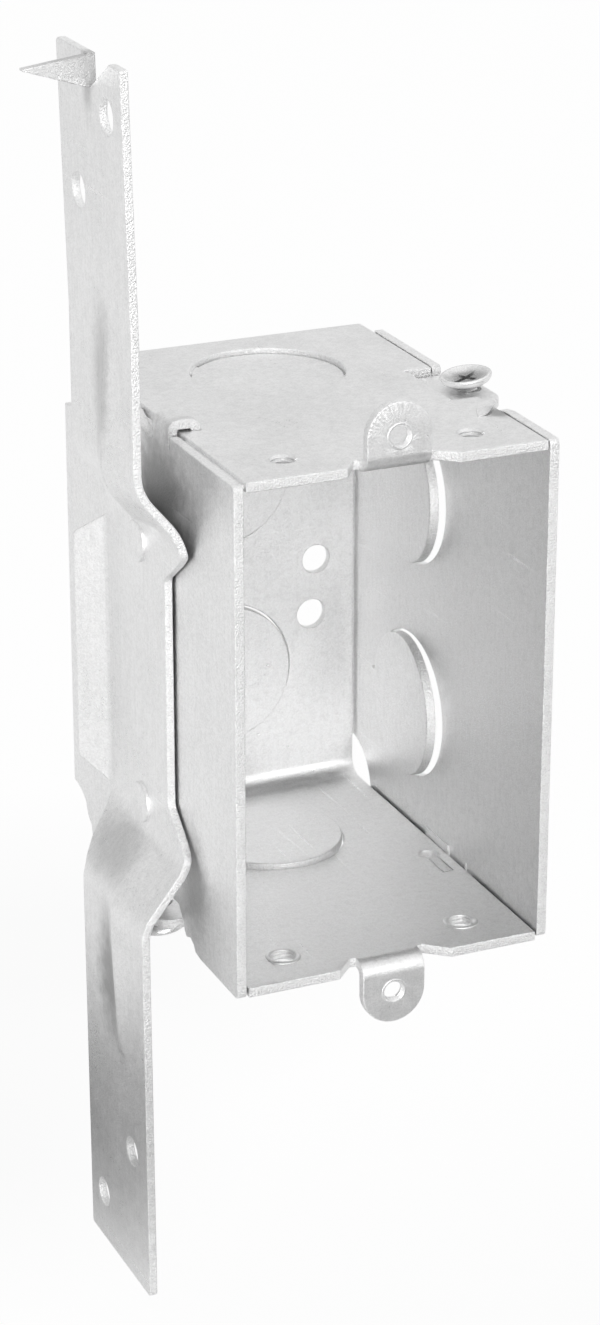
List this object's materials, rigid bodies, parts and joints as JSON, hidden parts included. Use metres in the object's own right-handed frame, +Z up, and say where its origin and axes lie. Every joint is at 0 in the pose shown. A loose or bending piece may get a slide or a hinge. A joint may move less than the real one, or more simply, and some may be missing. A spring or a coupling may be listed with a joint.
{
  "type": "steel switch box",
  "caption": "Open-front folded steel wall box with clamped side plates, device ears, pry-out knockouts and a jogged strap bracket for nailing to a stud.",
  "frame": {"origin": "middle of the back wall's outer face", "axes": "+X from the bracket's side towards the other side plate, +Y out of the back wall, so that the open front faces -Y, +Z up along the long strap"},
  "size_m": [0.0705, 0.065, 0.1838],
  "materials": {
    "box_zinc": "zinc-coated sheet steel, fine even grain, satin",
    "plate_zinc": "zinc-coated sheet steel, fine even grain, satin",
    "strap_zinc": "zinc-coated sheet steel, satin, brighter on pressed ribs and sheared edges",
    "screw_zinc": "bright zinc plating"
  },
  "bodies": {
    "root": {"box_body": "box_zinc", "right_side_plate": "plate_zinc", "left_side_plate": "plate_zinc", "stud_bracket": "strap_zinc", "side_screw_top_right": "screw_zinc", "side_screw_bottom_left": "screw_zinc"}
  },
  "joints": []
}
